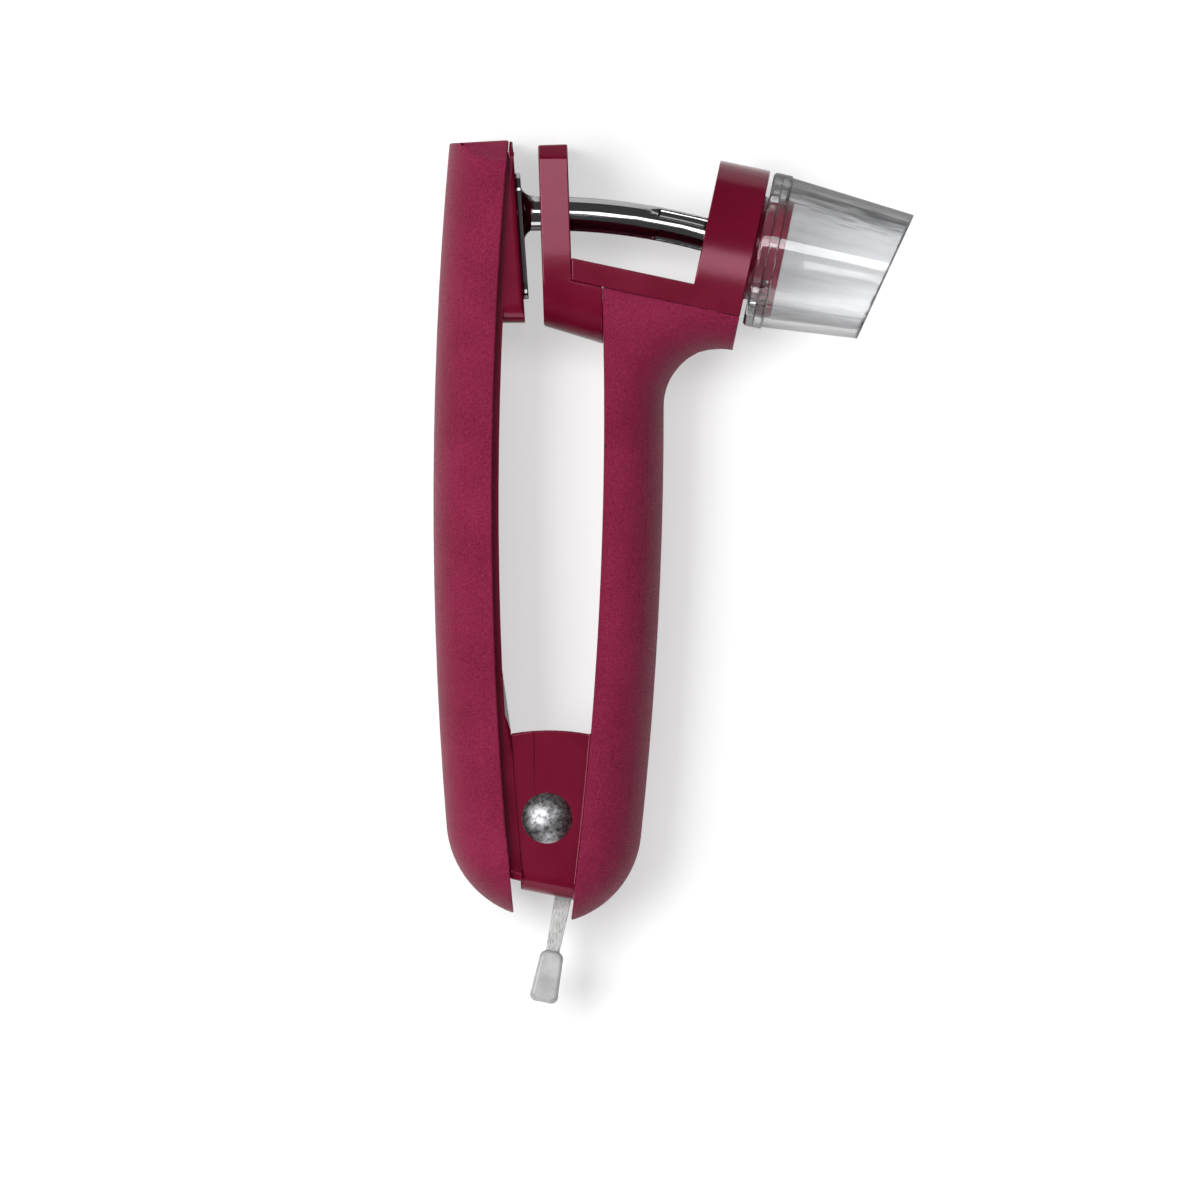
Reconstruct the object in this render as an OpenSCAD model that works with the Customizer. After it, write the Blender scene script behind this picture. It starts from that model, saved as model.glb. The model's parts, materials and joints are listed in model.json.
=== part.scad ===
// Cherry pitter in millimetres, lying on its side, closed, as it is stored.
// +X runs towards the splatter shield, +Y up the handles, +Z up from the table.
// Every sub-part is drawn about the pivot with its mid-plane at Z = 0, and set on the table once.

/* [Handles] */
// Depth of the handles and the head, side to side
body_depth = 27; // [26:0.5:30]
// Thickness of each handle, lip to back
handle_thick = 10.2; // [9.8:0.1:11]
// Radius of the long inward curve of both handles
handle_curve_r = 680; // [600:10:760]
// Fullness of the handle section, where 2 is an ellipse
section_power = 2.3; // [2:0.1:2.8]
// Place of the lever's lip at the middle of its curve
lever_lip = [-9.47, 54.7];
// Place of the frame handle's lip at the middle of its curve
frame_lip = [10, 70.4];
// Centre of the rounded heel of the frame handle
frame_heel_at = [-0.5, -1.5];
// Height of the lever's top end above the pivot
lever_top = 116.9; // [112:0.5:120]
// Slope of the lever's top end
lever_top_slope = 3; // [0:0.5:5]
// Rounding across the depth at the ends of the handles and the head
end_round = 3.3; // [2:0.1:4]

/* [Grip skins] */
// Wall of the textured grip skins
grip_wall = 2; // [1.8:0.1:2.3]
// Fullness of the core inside a skin
core_power = 3; // [2.6:0.1:3.2]
// Gap between a skin and its core
grip_gap = 0.1; // [0.05:0.05:0.2]

/* [Lever core] */
// How far the core's face stands out of the skin's lip
face_proud = 1.1; // [0.8:0.1:1.4]
// Lower end of the core's face above the pivot
face_low = 14.9; // [14.8:0.1:18]
// Gap between the clevis and the core's two liners, which run on down the lip beside it
liner_clear = 0.2; // [0.15:0.05:0.3]
// Lower end of the punch block above the pivot
block_low = 85.7; // [80:0.1:88]
// Width of the punch block beyond the lip at its lower end
block_reach = 5; // [4.6:0.1:5.6]
// Slope of the punch block's face
block_slope = 4; // [3.6:0.1:4.4]
// Rounding along the punch block's face
block_round = 1; // [0.5:0.1:1.5]

/* [Punch] */
// Radius of the arc that the punch follows about the pivot
punch_arc_r = 104.6; // [104:0.1:105.4]
// Diameter of the punch
punch_d = 5.9; // [5.4:0.1:6.2]
// Angle of the punch's tip from straight above the pivot
punch_tip = 20.5; // [19.6:0.1:21]
// Angle at which the flutes start
flute_start = 10.6; // [9:0.1:13]
// Radius of each flute
flute_r = 1.45; // [1.2:0.05:1.6]
// Size of the punch's mounting plate: length, width, thickness
plate = [22, 13, 0.9];
// Length of the plate above the punch
plate_rise = 7.1; // [6:0.1:9]
// Fillet between the punch and its plate
punch_fillet = 2.2; // [1.5:0.1:2.6]
// Drop and half spacing of the plate's screws
plate_screws = [9.9, 3.4];

/* [Head] */
// Tilt of the cup, bridge and shield
head_tilt = 12; // [10:0.5:13]
// Distance of the cup's ring from the pivot, along X
ring_x = 32.5; // [31.5:0.1:33.5]
// Length of the ring before and after its centre
ring_span = [5.45, 3.45];
// Half height of the ring above the head's axis
ring_rise = 13.6; // [13:0.1:14.5]
// How far below the axis the ring's sides turn straight
ring_shoulder = 7.3; // [6:0.1:8]
// Drop of the bridge's floor below the axis
floor_drop = 8.3; // [8:0.1:9]
// Drop of the seam under the bridge below the axis
seam_drop = 12.1; // [11.8:0.1:13]
// Mouth radius of the cup
cup_mouth_r = 10.6; // [9.5:0.1:11.5]
// Depth of the cup's cone
cup_depth = 6.2; // [5.8:0.1:6.8]
// Radius of the hole that the stone leaves by
stone_hole_r = 5.1; // [4.6:0.1:5.6]

/* [Guide plate and bracket] */
// Distance of the guide plate's middle from the pivot, along X
guide_x = 1.38; // [1:0.01:1.8]
// Thickness of the guide plate
guide_thick = 5.1; // [4.5:0.1:5.5]
// Lean of the guide plate
guide_tilt = 1.9; // [1:0.1:2.5]
// Height of the guide plate above the punch
guide_rise = 11.95; // [11:0.05:13]
// Drop of the bracket's corner below the punch
guide_drop = 19.3; // [18:0.1:20]
// Slope of the bracket's underside
under_slope = 17.2; // [15:0.2:19]
// Rounding along the bracket's underside
under_round = 8.4; // [6:0.1:9.5]
// Radial clearance of the punch in the guide plate
guide_clear = 0.35; // [0.3:0.05:0.5]
// Radius of the hollow where the frame handle meets the head
neck_r = 9.8; // [8:0.1:11]
// Drop of that hollow's centre below the ring's centre
neck_drop = 28.05; // [27:0.05:29]

/* [Clevis and pivot] */
// Half depth of the clevis over its cheeks
clevis_half = 10.2; // [9.8:0.1:10.4]
// Thickness of each cheek
cheek_thick = 2.4; // [2:0.1:2.8]
// Height and radius of the clevis's crown
crown = [15.2, 37];
// Left edge of the clevis at its top, and the lean of that edge
cheek_edge = [-6.3, 3.8];
// Drop of the clevis's lower edge along the lock
clevis_drop = 13; // [12.6:0.1:13.4]
// Radius of the rivet's shank
shank_r = 2; // [1.6:0.1:2.3]
// Radius and height of the rivet's domed heads
rivet_head = [4.4, 1.9];
// Radius of the lever's knuckles
knuckle_r = 5.5; // [5:0.1:5.7]
// Inner face and thickness of each knuckle from the mid-plane
knuckle_z = [4.9, 2.6];
// Radial clearance of the shank in its bores
pin_clear = 0.05; // [0.02:0.01:0.09]

/* [Lock] */
// Tilt of the lock's slide
lock_tilt = 11; // [10:0.5:12]
// Distance of the strap's middle from the pivot
lock_offset = 5.36; // [5.2:0.02:5.5]
// Width of the strap, in the frame and at its lower end
strap_w = [2.94, 2.4];
// Half depth of the strap
strap_half = 2.3; // [2:0.1:2.4]
// Span of the head's bar along the slide
lock_bar = [8.3, 10.3];
// Span of the two teeth across the slide
tooth_w = [-1.6, -0.8];
// Outer radius of the catches on the knuckles, which the teeth drop beside to hold the lever closed
catch_r = 6.8; // [6.4:0.1:6.9]
// Angles at which a catch starts and ends, from straight up the slide
catch_angle = [-5.5, 2];
// Height of the teeth above the catches
tooth_clear = 0.3; // [0.2:0.05:0.4]
// Running clearance around the lock
lock_clear = 0.18; // [0.12:0.02:0.25]
// Start of the pull tab below the pivot, along the slide
tab_start = 22.4; // [21:0.1:24]
// Length of the pull tab
tab_len = 9; // [7:0.1:10]
// Width of the pull tab at its top and its foot
tab_w = [3.95, 4.95];
// Half depth of the pull tab
tab_half = 4.2; // [3.6:0.1:5]

/* [Spring] */
// Wire diameter
wire_d = 0.9; // [0.7:0.05:1]
// Mean radius of the coil
coil_r = 2.62; // [2.6:0.01:2.8]
// Full turns in the coil
coil_turns = 4; // [3:1:4]
// Half length of the coil along the rivet
coil_half = 3.1; // [2.9:0.1:3.4]
// Lengths of the leg on the lever and the leg on the frame
leg_len = [15.9, 6];

/* [Splatter shield] */
// How far the shield's collar stays inside the ring's depth
collar_inset = 0; // [0:0.1:0.4]
// Length of the collar
collar_len = 3.3; // [3:0.1:4]
// Gap between the ring and the collar
collar_gap = 0.72; // [0.3:0.02:0.9]
// How far the cone lies inside the collar where it starts and where it ends
cone_inset = [0.3, 2];
// Length of the shield on its axis
shield_len = 22.6; // [20:0.1:26]
// Slant of the shield's open end
shield_slant = 12.8; // [10:0.2:15]
// Wall of the shield
shield_wall = 1.5; // [1.2:0.1:1.8]
// Thickness of the inner flange that the lugs hold
flange_thick = 1.7; // [1.4:0.1:2]
// How far the cup's boss lies inside the collar
boss_inset = 4.45; // [4.2:0.05:5]
// Length of the boss beyond the ring
boss_len = 5.15; // [4.9:0.05:6]
// How far the bayonet lugs lie inside the collar
lug_inset = 2.2; // [2.1:0.1:2.7]
// Middle and width of the first lug, round the axis
lug_angle = [64, 28];
// Turn that frees the shield
shield_turn = 40; // [30:1:44]
// Running clearance of the bayonet
bayonet_clear = 0.3; // [0.25:0.05:0.4]

/* [Screws] */
// Shank and head radius of all screws
screw_r = [1.25, 2.3];
// Head height of the cup's screws
screw_head_h = 1.7; // [1.4:0.1:2]
// Places of the cup's screws along the head
cup_screw_s = [-23, -2.6];
// Depth of the screws in the bridge
screw_bite = 3; // [2.5:0.1:3.3]
// Length of the screws of the punch's plate
plate_screw_len = 9; // [7:0.5:10]

/* [Hidden] */
$fn = 96;
sweep_fn = 256; // facets of the long handle curves
neck_lap = 0.3; // lap of the neck over the frame handle, in degrees
neck_ext = 12; // run of the neck's section past its lip, under the seam
neck_web = [1.5, 2.5]; // reach of the spine's neck before and behind the handle's lip
neck_inset = 1; // how far the neck stays inside the core's depth
neck_foot = 2.1; // height at which the neck starts above the bracket's underside
reach = 40; // run of the cutting shapes past what they cut
clevis_run = 3; // run of the clevis's outline past its crown and its lower edge
crown_x = 0.35; // middle of the clevis's crown
room_wall = 1.8; // wall over and under the room between the cheeks
web_x = -12.2; // front of the web that the spring's leg rests on
web_thick = 2;
web_low = -2.5;
screw_seat = [4.2, 4.2]; // depth of the cup's screw heads below the seam
screw_run = 18; // depth to which their seats run, out through the skin
screw_gap = 0.15; // gap round the cup's screws
screw_fit = 0.05; // least gap between a screw and its seat
stone_flare = [2, 1.5]; // length and widening of the stone hole's flare
strap_root = 5; // run of the strap inside its tab
tab_round = 1.5; // rounding across the tab's depth
cone_run = 8; // run of the shield's cone past its mouth, before the mouth is cut
stop_w = 6; // width of each stop rib behind the flange, in degrees
steps = 16; // rings to a turn of the spring
spring_from = 216.9; // angle at which the lever's leg meets the coil
spring_to = 295.6; // angle at which the frame's leg leaves it
trim = 0.02; // least cut that parts two surfaces cleanly
rim_flat = 0.12; // flat band along the frame skin's lip
half = body_depth / 2;
skin_r = handle_curve_r + handle_thick;
lever_centre = lever_lip + [handle_curve_r, 0];
frame_centre = frame_lip - [handle_curve_r, 0];
// The heels run on from the backs without a corner
lever_heel_r = skin_r - norm(lever_centre);
lever_join = atan2(lever_centre.y, lever_centre.x);
frame_heel_r = skin_r - norm(frame_centre - frame_heel_at);
frame_join = atan2(frame_heel_at.y - frame_centre.y, frame_heel_at.x - frame_centre.x);
ring_at = [ring_x, sqrt(punch_arc_r * punch_arc_r - ring_x * ring_x)];
// Angle on the frame handle's curve at which the neck starts
neck_turn = asin((ring_at.y - neck_drop - frame_centre.y) / (skin_r + neck_r));
neck_at = frame_centre + (skin_r + neck_r) * [cos(neck_turn), sin(neck_turn)];
guide_at = [guide_x, sqrt(punch_arc_r * punch_arc_r - guide_x * guide_x)];
rim_s = ring_span[1] + collar_gap;
block_foot = [lip_x(lever_lip, 1, block_low) + block_reach, block_low];
plate_face_x = block_foot.x - (punch_arc_r - block_low) * tan(block_slope);
punch_root = -asin((plate_face_x + plate[2] / 2) / punch_arc_r);
flute_out = punch_d / 2 + 0.45 * flute_r;
collar_r = half - collar_inset;
cone_r = [collar_r - cone_inset[0], collar_r - cone_inset[1]];
boss_r = collar_r - boss_inset;
lug_r = collar_r - lug_inset;
room_half = clevis_half - cheek_thick;
bar_half = room_half - 0.3;
liner_at = clevis_half + liner_clear;
core_half = half - grip_wall - grip_gap - trim;
strap_edge = lock_offset + strap_w[0] / 2;
lug_start = rim_s + flange_thick + bayonet_clear;
collar_bore_r = lug_r + 1.5 * bayonet_clear;
cone_end_r = cone_r[0]
    + (cone_r[1] - cone_r[0]) * (shield_len + cone_run - collar_len) / (shield_len - collar_len);
slot_start = lug_angle[0] - lug_angle[1] / 2 - shield_turn - 1.5;
stop_angles = [lug_angle[0] + lug_angle[1] / 2 + 1.5, slot_start - stop_w - 1];
x_min = lever_centre.x - skin_r;
x_max = ring_at.x + (rim_s + shield_len + cone_r[1] * sin(shield_slant)) * cos(head_tilt)
    + cone_r[1] * sin(head_tilt) * cos(shield_slant);
y_max = lever_top + handle_thick / 2 * tan(lever_top_slope);
y_min = lock_offset * -sin(lock_tilt) - (tab_start + tab_len) * cos(lock_tilt)
    - tab_w[1] / 2 * sin(lock_tilt);

// X of a handle's lip at height y: side is 1 on the lever, -1 on the frame handle
function lip_x(lip, side, y) =
    lip.x + side * (handle_curve_r - sqrt(pow(handle_curve_r, 2) - pow(y - lip.y, 2)));
// Height of the seam under the bridge, less a drop, at x
function seam_y(x, drop = 0) =
    ring_at.y - (x - ring_at.x) * tan(head_tilt) - (seam_drop + drop) / cos(head_tilt);

// Handle section: x from the lip (0) to the back, y across the depth, and on past the lip by ext,
// where each side has fallen by fall
module handle_section(inset, power, ext, fall = 0, n = 14) {
    depth = half - inset;
    thick = handle_thick - inset;
    arc = [for (i = [0:n]) let(a = 90 * i / n)
        [thick * pow(sin(a), 2 / power), depth * pow(cos(a), 2 / power)]];
    polygon(concat(arc, [for (i = [n - 1:-1:0]) [arc[i].x, -arc[i].y]],
        [[-ext, fall - depth], [-ext, depth - fall]]));
}

// Sweeps a section about a centre, from angle a0 to a1
module sweep(centre, a0, a1, fn = sweep_fn)
    translate([centre.x, centre.y, 0]) rotate([0, 0, a0])
        rotate_extrude(angle = a1 - a0, $fn = fn) children();

// Outline across the depth (y) that starts at x = 0 with rounded corners and runs on for len
module round_start(depth, r, len) {
    translate([r, -depth / 2]) square([len - r, depth]);
    translate([0, r - depth / 2]) square([len, depth - 2 * r]);
    for (side = [-1, 1]) translate([r, side * (depth / 2 - r)]) circle(r);
}

// Draws an outline across the depth along X: its x is Y, its y is Z
module along_x(len) rotate([90, 0, 90]) linear_extrude(len, center = true) children();

// Solid of the lever handle, less an inset all over, before it is cut at the lip
module lever_form(inset, power) {
    heel_in = lever_heel_r - handle_thick;
    intersection() {
        union() {
            sweep(lever_centre, 174, 180 + lever_join) translate([handle_curve_r, 0])
                handle_section(inset, power, heel_in - 3);
            sweep([0, 0], 180 + lever_join, 285) translate([heel_in, 0])
                handle_section(inset, power, heel_in - 3);
        }
        under_top(inset);
    }
}

// Everything below the lever's top end, less an inset, with its edges rounded across the depth
module under_top(inset)
    translate([x_min + handle_thick / 2, lever_top, 0]) rotate([0, 0, 180 + lever_top_slope])
        translate([0, inset, 0]) along_x(6 * handle_thick) round_start(2 * half - 2 * inset + trim,
            max(end_round - inset, 0.5), 2 * lever_top);

// Solid of the frame handle, less an inset all over, before it is cut at the lip
module frame_form(inset, power, top_angle = 2.2) {
    heel_in = frame_heel_r - handle_thick;
    sweep(frame_centre, frame_join, top_angle) translate([handle_curve_r, 0])
        handle_section(inset, power, heel_in - 3);
    sweep(frame_heel_at, -112, frame_join) translate([heel_in, 0])
        handle_section(inset, power, heel_in - 3);
}

// Everything on the handle's side of a lip, or of a line inset from it
module beyond_lip(centre, inset = 0)
    translate([centre.x, centre.y, 0]) cylinder(r = handle_curve_r + inset, h = 2 * body_depth,
        center = true, $fn = sweep_fn);

module at_head() translate([ring_at.x, ring_at.y, 0]) rotate([0, 0, -head_tilt]) children();
// Round the head's axis: z runs along it, x is up and y is across the depth
module about_head() at_head() rotate([90, 0, 90]) children();
module at_lock() rotate([0, 0, -lock_tilt]) children();
module at_plate() translate([plate_face_x, punch_arc_r, 0]) rotate([0, 0, block_slope]) children();
module at_guide() translate([guide_at.x, guide_at.y, 0]) rotate([0, 0, guide_tilt]) children();

// Ring segment from angle a0 to a1 and from z0 to z1
module segment(r0, r1, a0, a1, z0, z1)
    rotate([0, 0, a0]) rotate_extrude(angle = a1 - a0) translate([r0, z0]) square([r1 - r0, z1 - z0]);

// Arch across the ring: x is up, y is across the depth
module ring_arch(rise, side) {
    n = 24;
    polygon(concat([for (i = [0:n]) let(a = 90 - 180 * i / n)
        [-ring_shoulder + (rise + ring_shoulder) * cos(a), side * sin(a)]],
        [[-seam_drop, -side], [-seam_drop, side]]));
}

// Textured skin of the lever, open at its lip
module lever_grip() color("#8d3650") difference() {
    lever_form(0, section_power);
    lever_form(grip_wall, core_power);
    beyond_lip(lever_centre, trim);
}

// Block under the punch's plate, with its rounded edges
module punch_block() {
    rise = lever_top - block_foot.y;
    side = half - grip_wall - grip_gap;
    intersection() {
        linear_extrude(body_depth, center = true) intersection() {
            polygon([block_foot, block_foot + [-rise * tan(block_slope), rise + 0.2],
                [lever_lip.x - 1, lever_top - 0.1], [lever_lip.x - 1, block_foot.y]]);
            translate(lever_centre) circle(handle_curve_r - grip_gap, $fn = sweep_fn);
        }
        translate([block_foot.x, block_low, 0]) along_x(6 * block_reach)
            round_start(2 * side, end_round, lever_top);
        translate([block_foot.x, block_low, 0]) rotate([0, 0, block_slope])
            rotate([90, 0, 0]) linear_extrude(3 * lever_top, center = true)
                mirror([1, 0]) round_start(2 * side + trim, block_round, 5 * block_reach);
    }
}

module plate_screw_axes()
    for (side = [-1, 1]) at_plate() translate([plate[2], -plate_screws[0], side * plate_screws[1]])
        rotate([0, -90, 0]) children();

// Countersunk screw of the punch's plate, slimmer all over by a fit
module plate_screw(fit = 0) {
    cylinder(r = screw_r[0] - fit, h = plate_screw_len - fit);
    cylinder(r1 = screw_r[1] - fit, r2 = screw_r[0] - fit, h = screw_r[1] - screw_r[0]);
}

// Rigid core of the lever: face, punch block, liners, web and the two knuckles on the rivet
module lever_core() color("#6b1730") difference() {
    union() {
        difference() {
            intersection() {
                lever_form(grip_wall + grip_gap, core_power);
                translate([x_min, -lever_top, -core_half])
                    cube([3 * handle_thick, 3 * lever_top, 2 * core_half]);
            }
            beyond_lip(lever_centre, -face_proud);
            translate([x_min - 1, face_low - lever_top, -liner_at])
                cube([3 * handle_thick, lever_top, 2 * liner_at]);
        }
        punch_block();
        for (side = [-1, 1]) translate([0, 0, side * (knuckle_z[0] + knuckle_z[1] / 2)])
            knuckle_plate();
        translate([web_x - web_thick, web_low, -knuckle_z[0] - 0.1])
            cube([web_thick, face_low - web_low + 1, 2 * knuckle_z[0] + 0.2]);
    }
    plate_screw_axes() plate_screw();
}

// One knuckle with its arm into the lever and the catch for the lock's tooth
module knuckle_plate() linear_extrude(knuckle_z[1], center = true) difference() {
    union() {
        circle(knuckle_r);
        polygon([[web_x - web_thick, face_low + 1], [lever_lip.x, face_low + 1],
            [lever_lip.x, 0.8 * face_low], [-0.65 * knuckle_r, 0.72 * knuckle_r],
            [-0.5 * knuckle_r, -0.8 * knuckle_r], [web_x - web_thick, web_low]]);
        rotate(-lock_tilt) intersection() {
            circle(catch_r);
            polygon(concat([[0, 0]], [for (a = catch_angle) 2 * catch_r * [sin(a), cos(a)]]));
        }
    }
    circle(shank_r + pin_clear);
}

// Steel punch: an arc about the pivot with a fluted tip, on a plate with a fillet
module punch() color("#b9bcc0") difference() {
    union() {
        at_plate() translate([plate[2] / 2, plate_rise - plate[0] / 2, 0]) rotate([90, 0, 90])
            linear_extrude(plate[2], center = true) plate_outline();
        sweep([0, 0], 90 - punch_tip, 90 + punch_root, 96)
            translate([punch_arc_r, 0]) circle(d = punch_d, $fn = 48);
        at_punch_root() rotate_extrude($fn = 48) difference() {
            square([punch_d / 2 + punch_fillet, punch_fillet]);
            translate([punch_d / 2 + punch_fillet, punch_fillet])
                circle(punch_fillet + 3 * trim, $fn = 48);
        }
    }
    for (a = [45:90:315]) {
        sweep([0, 0], 88 - punch_tip, 90 - flute_start, 96)
            translate([punch_arc_r + flute_out * cos(a), flute_out * sin(a)])
                circle(flute_r, $fn = 24);
        rotate([0, 0, 90 - flute_start])
            translate([punch_arc_r + flute_out * cos(a), -0.4, flute_out * sin(a)]) rotate([-90, 0, 0])
                cylinder(r1 = flute_r - trim, r2 = flute_r / 4, h = 2 * flute_r);
    }
    plate_screw_axes() plate_screw();
}

// Where the punch leaves its plate, with z along the punch
module at_punch_root() at_plate() translate([plate[2] - 0.05, 0, 0]) rotate([0, 90, 0]) children();

// The plate's outline: x is up, y is across the depth
module plate_outline() {
    r = plate[1] / 4;
    square([plate[0] - 2 * r, plate[1]], center = true);
    square([plate[0], plate[1] - 2 * r], center = true);
    for (x = [-1, 1], y = [-1, 1])
        translate([x * (plate[0] / 2 - r), y * (plate[1] / 2 - r)]) circle(r);
}

module punch_screws() color("#9a9da1") plate_screw_axes() plate_screw(screw_fit);

// Outline of the guide plate and the bracket, up to the frame handle's lip
module head_outline() {
    foot = guide_point(-guide_thick / 2, -guide_drop);
    hip = guide_point(guide_thick / 2, -guide_drop / 2);
    far = frame_lip.x + 4;
    polygon([guide_point(-guide_thick / 2, guide_rise), guide_point(guide_thick / 2, guide_rise),
        hip, [hip.x, seam_y(hip.x)], [far, seam_y(far)],
        [far, foot.y - (far - foot.x) * tan(under_slope)], foot]);
}

function guide_point(x, y) = [guide_at.x + x * cos(guide_tilt) - y * sin(guide_tilt),
    guide_at.y + x * sin(guide_tilt) + y * cos(guide_tilt)];

module cup_screw_axes(i)
    at_head() translate([cup_screw_s[i], -seam_drop, 0]) rotate([90, 0, 0]) children();

// Screw from below into the bridge: z points down, 0 at the seam
module cup_screw(head_at) {
    translate([0, 0, -screw_bite]) cylinder(r = screw_r[0] - screw_fit, h = head_at + screw_bite);
    translate([0, 0, head_at]) cylinder(r = screw_r[1] - screw_fit, h = screw_head_h);
}

// Hole and seat for a cup screw, up from below
module cup_screw_hole(i) cup_screw_axes(i) rotate([0, 0, 20]) rotate_extrude() polygon([[0, -1],
    [screw_r[0] + screw_gap, -1], [screw_r[0] + screw_gap, screw_seat[i]],
    [screw_r[1] + screw_gap, screw_seat[i]], [screw_r[1] + screw_gap, screw_run], [0, screw_run]]);

// Rigid core of the frame: guide plate, bracket, spine and clevis
module frame_core() color("#7a2440") difference() {
    union() {
        intersection() {
            linear_extrude(body_depth, center = true) intersection() {
                head_outline();
                translate(frame_centre) circle(handle_curve_r - rim_flat - trim, $fn = sweep_fn);
            }
            at_guide() translate([0, guide_rise, 0]) rotate([0, 0, 180])
                along_x(12 * guide_thick) round_start(body_depth, end_round, 2 * guide_drop + guide_rise);
            translate(concat(guide_point(-guide_thick / 2, -guide_drop), 0))
                rotate([0, 0, -under_slope]) along_x(12 * guide_thick)
                    round_start(body_depth, under_round, 3 * guide_drop);
        }
        difference() {
            intersection() {
                union() {
                    frame_form(grip_wall + grip_gap, core_power);
                    spine_neck();
                }
                below_seam(grip_wall + grip_gap);
            }
            beyond_lip(frame_centre, -rim_flat);
        }
        spine_neck();
        clevis_block();
    }
    clevis_room();
    translate([0, 0, -half]) cylinder(r = shank_r + pin_clear, h = body_depth);
    at_lock() translate([lock_offset - strap_w[0] / 2 - lock_clear, -clevis_drop - 2 * end_round,
        -strap_half - lock_clear])
        cube([strap_w[0] + 2 * lock_clear, clevis_drop, 2 * (strap_half + lock_clear)]);
    rotate([0, 0, -asin(guide_x / punch_arc_r)]) translate([0, punch_arc_r, 0]) rotate([0, 90, 0])
        cylinder(d = punch_d + 2 * guide_clear, h = 4 * guide_thick, center = true);
    for (i = [0, 1]) cup_screw_hole(i);
}

// Everything under the seam, less a wall
module below_seam(wall = 0)
    linear_extrude(2 * body_depth, center = true)
        polygon([[-reach, seam_y(-reach, wall)], [2 * reach, seam_y(2 * reach, wall)],
            [2 * reach, -2 * reach], [-reach, -2 * reach]]);

// Joins the bracket to the spine inside the frame handle
module spine_neck() {
    x = lip_x(frame_lip, -1, neck_at.y + neck_r);
    side = half - grip_wall - grip_gap;
    foot = guide_point(-guide_thick / 2, -guide_drop);
    low = foot.y - (x - foot.x) * tan(under_slope);
    high = seam_y(x + neck_web[1], grip_wall + grip_gap);
    translate([x - neck_web[0], low + neck_foot, neck_inset - side])
        cube([neck_web[0] + neck_web[1], high - low - neck_foot, 2 * (side - neck_inset)]);
}

// Clevis as a solid block, with its ends rounded across the depth
module clevis_block() intersection() {
    linear_extrude(2 * clevis_half, center = true) intersection() {
        clevis_outline();
        translate([crown_x, crown[0] - crown[1]]) circle(crown[1], $fn = sweep_fn);
    }
    at_lock() translate([0, -clevis_drop, 0])
        along_x(4 * crown[0]) round_start(2 * clevis_half, end_round, 4 * crown[0]);
}

// Clevis from the side, without its crown and its lower edge
module clevis_outline() {
    lean = tan(cheek_edge[1]);
    high = crown[0] + clevis_run;
    low = -clevis_drop - clevis_run;
    polygon([[cheek_edge[0] - lean * clevis_run, high], [frame_lip.x + 0.5, high],
        [lip_x(frame_lip, -1, low) - 0.2, low], [cheek_edge[0] + lean * (crown[0] - low), low]]);
}

// Room between the cheeks, for the knuckles, the spring and the lock
module clevis_room() linear_extrude(2 * room_half, center = true) intersection() {
    rotate(-lock_tilt) translate([-reach, room_wall - clevis_drop])
        square([reach + strap_edge + lock_clear, reach]);
    translate([crown_x, crown[0] - crown[1]]) circle(crown[1] - room_wall, $fn = sweep_fn);
}

// Textured skin of the frame handle, with the arm under the cup
module frame_grip() color("#8d3650") difference() {
    intersection() {
        union() {
            frame_form(0, section_power, neck_turn);
            sweep(neck_at, 60, 180 + neck_turn + neck_lap, 96) translate([neck_r + handle_thick, 0])
                mirror([1, 0]) handle_section(0, section_power, neck_ext, 0.15);
        }
        below_seam();
    }
    at_head() translate([ring_span[1], -reach, -body_depth]) cube([reach, reach, 2 * body_depth]);
    intersection() {
        union() {
            frame_form(grip_wall, core_power);
            neck_pocket();
        }
        below_seam(grip_wall);
    }
    beyond_lip(frame_centre, -rim_flat);
    cup_screw_hole(1);
}

// Pocket for the neck of the spine
module neck_pocket() {
    x = lip_x(frame_lip, -1, neck_at.y + neck_r);
    side = half - grip_wall;
    translate([x - 2 * neck_web[0], neck_at.y, neck_inset - side])
        cube([2 * neck_web[0] + neck_web[1] + grip_gap, reach, 2 * (side - neck_inset)]);
}

// Bridge, ring with its cup, and the bayonet boss
module cherry_cup() color("#77283e") difference() {
    union() {
        intersection() {
            linear_extrude(body_depth, center = true) bridge_outline();
            at_head() translate([-reach, -seam_drop, 0])
                linear_extrude(body_depth, center = true) square([reach + ring_span[1], reach]);
        }
        about_head() {
            translate([0, 0, -ring_span[0]]) linear_extrude(ring_span[0] + ring_span[1])
                ring_arch(ring_rise, half);
            cylinder(r = boss_r, h = ring_span[1] + boss_len);
            for (i = [0:2]) segment(boss_r - 0.5, lug_r, lug_angle[0] - lug_angle[1] / 2 + 120 * i,
                lug_angle[0] + lug_angle[1] / 2 + 120 * i, lug_start, ring_span[1] + boss_len);
        }
    }
    about_head() {
        translate([0, 0, -ring_span[0] - trim / 2])
            cylinder(r1 = cup_mouth_r, r2 = stone_hole_r, h = cup_depth);
        translate([0, 0, -ring_span[0] - 1]) cylinder(r = stone_hole_r, h = reach);
        translate([0, 0, ring_span[1] + boss_len - stone_flare[0]]) cylinder(r1 = stone_hole_r,
            r2 = stone_hole_r + stone_flare[1], h = stone_flare[0] + trim / 2);
    }
    for (i = [0, 1]) cup_screw_axes(i) translate([0, 0, -screw_bite - 2 * screw_gap])
        cylinder(r = screw_r[0], h = screw_run);
}

// Bridge between the guide plate and the ring, seen from the side
module bridge_outline() difference() {
    x = ring_at.x + 10;
    polygon([[0, floor_y(0)], [0, seam_y(0) - 5], [x, seam_y(x) - 5], [x, floor_y(x)]]);
    head_outline();
}

// Height of the bridge's floor at x
function floor_y(x) = seam_y(x) + (seam_drop - floor_drop) / cos(head_tilt);

module cup_screws() color("#9a9da1")
    for (i = [0, 1]) cup_screw_axes(i) cup_screw(screw_seat[i] + screw_fit);

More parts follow.
